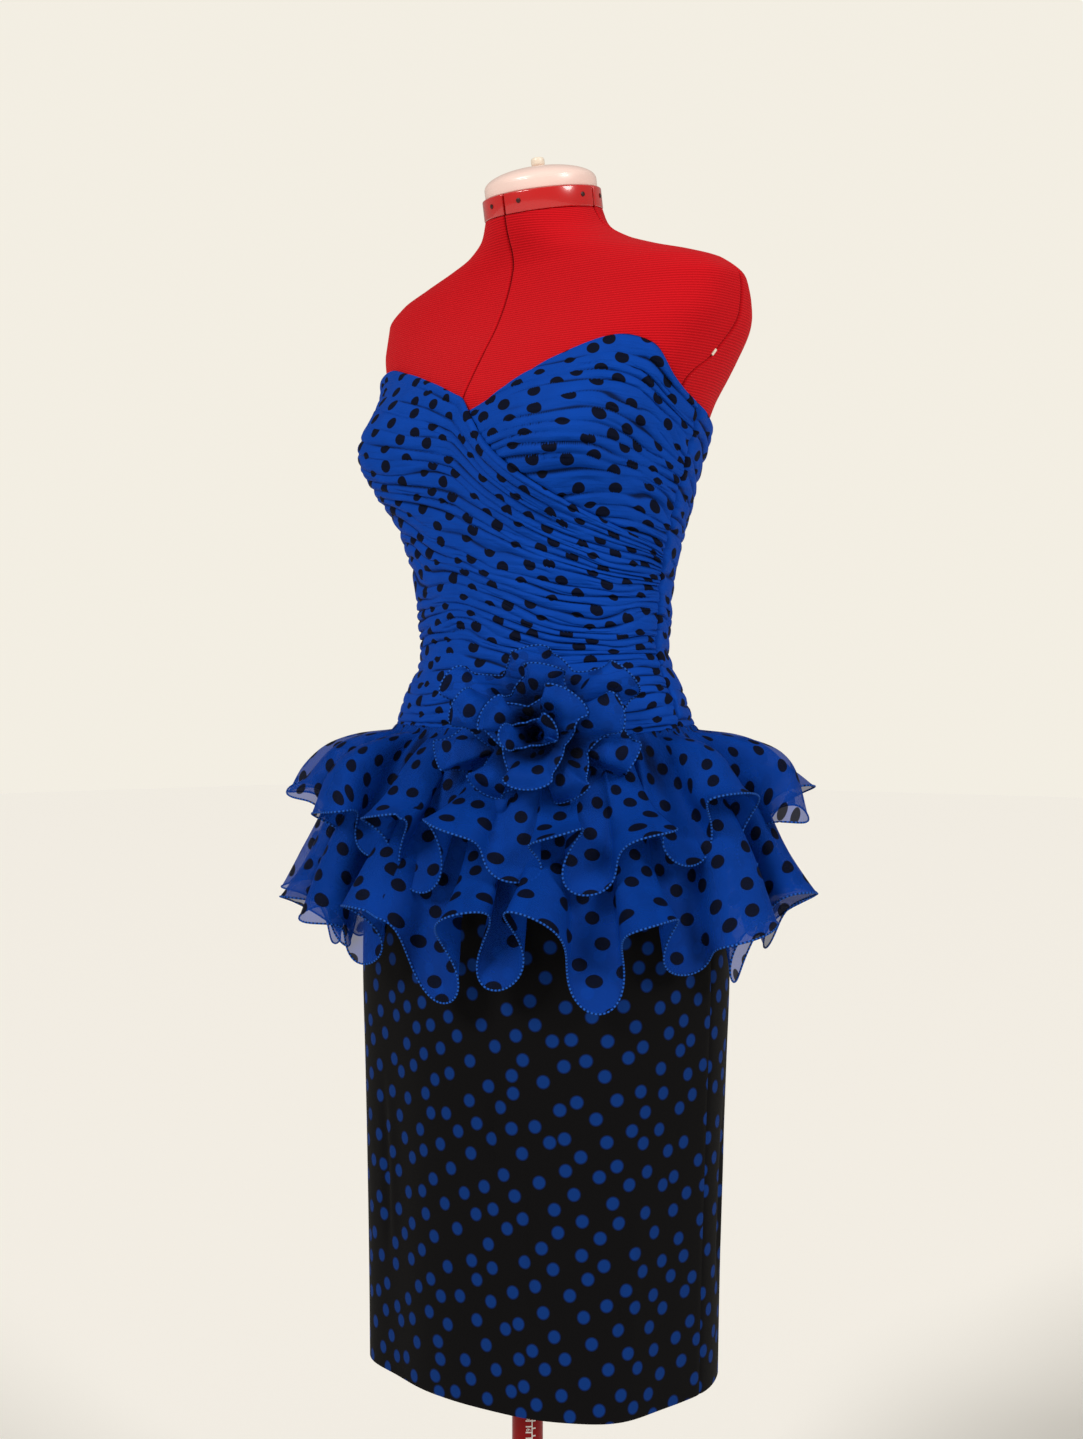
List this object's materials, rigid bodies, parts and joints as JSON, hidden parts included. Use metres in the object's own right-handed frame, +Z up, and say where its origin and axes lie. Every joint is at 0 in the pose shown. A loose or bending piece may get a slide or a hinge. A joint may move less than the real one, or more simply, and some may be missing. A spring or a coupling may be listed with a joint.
{
  "type": "party dress on dress form",
  "caption": "Strapless ruched party dress with a sweetheart wrap bodice, ruffled peplum, rosette and straight skirt, on a limbless dress form with a pole and round base.",
  "frame": {"origin": "centre of the base's underside, on the floor, below the pole", "axes": "+Z up; the front of the dress faces -Y; the wearer's left is +X"},
  "size_m": [0.4816, 0.4203, 1.4039],
  "materials": {
    "red_knit": "fine horizontally ribbed red knit over a hard shell",
    "red_gloss": "glossy red plastic",
    "pale_cap": "smooth pale pinkish-white plastic",
    "blue_chiffon": "royal blue chiffon with scattered black dots",
    "black_skirt": "black chiffon over black with scattered blue dots",
    "dark_base": "dark grey satin enamel"
  },
  "bodies": {
    "stand": {"stand_base": "dark_base", "pole": "red_gloss"},
    "form": {"torso": "red_knit", "neck_band": "red_gloss", "neck_cap": "pale_cap", "neck_knob": "pale_cap", "bodice_front_wrap": "blue_chiffon", "bodice_front_cup": "blue_chiffon", "bodice_back_left": "blue_chiffon", "bodice_back_right": "blue_chiffon", "peplum_upper": "blue_chiffon", "peplum_lower": "blue_chiffon", "rosette_outer": "blue_chiffon", "rosette_middle": "blue_chiffon", "rosette_inner": "blue_chiffon", "rosette_bud": "blue_chiffon", "skirt_front": "black_skirt", "skirt_back": "black_skirt"}
  },
  "joints": [
    {"name": "form_height", "type": "slide", "parent": "stand", "child": "form", "axis": [0, 0, 1], "range_m": [-0.12, 0.08]}
  ]
}
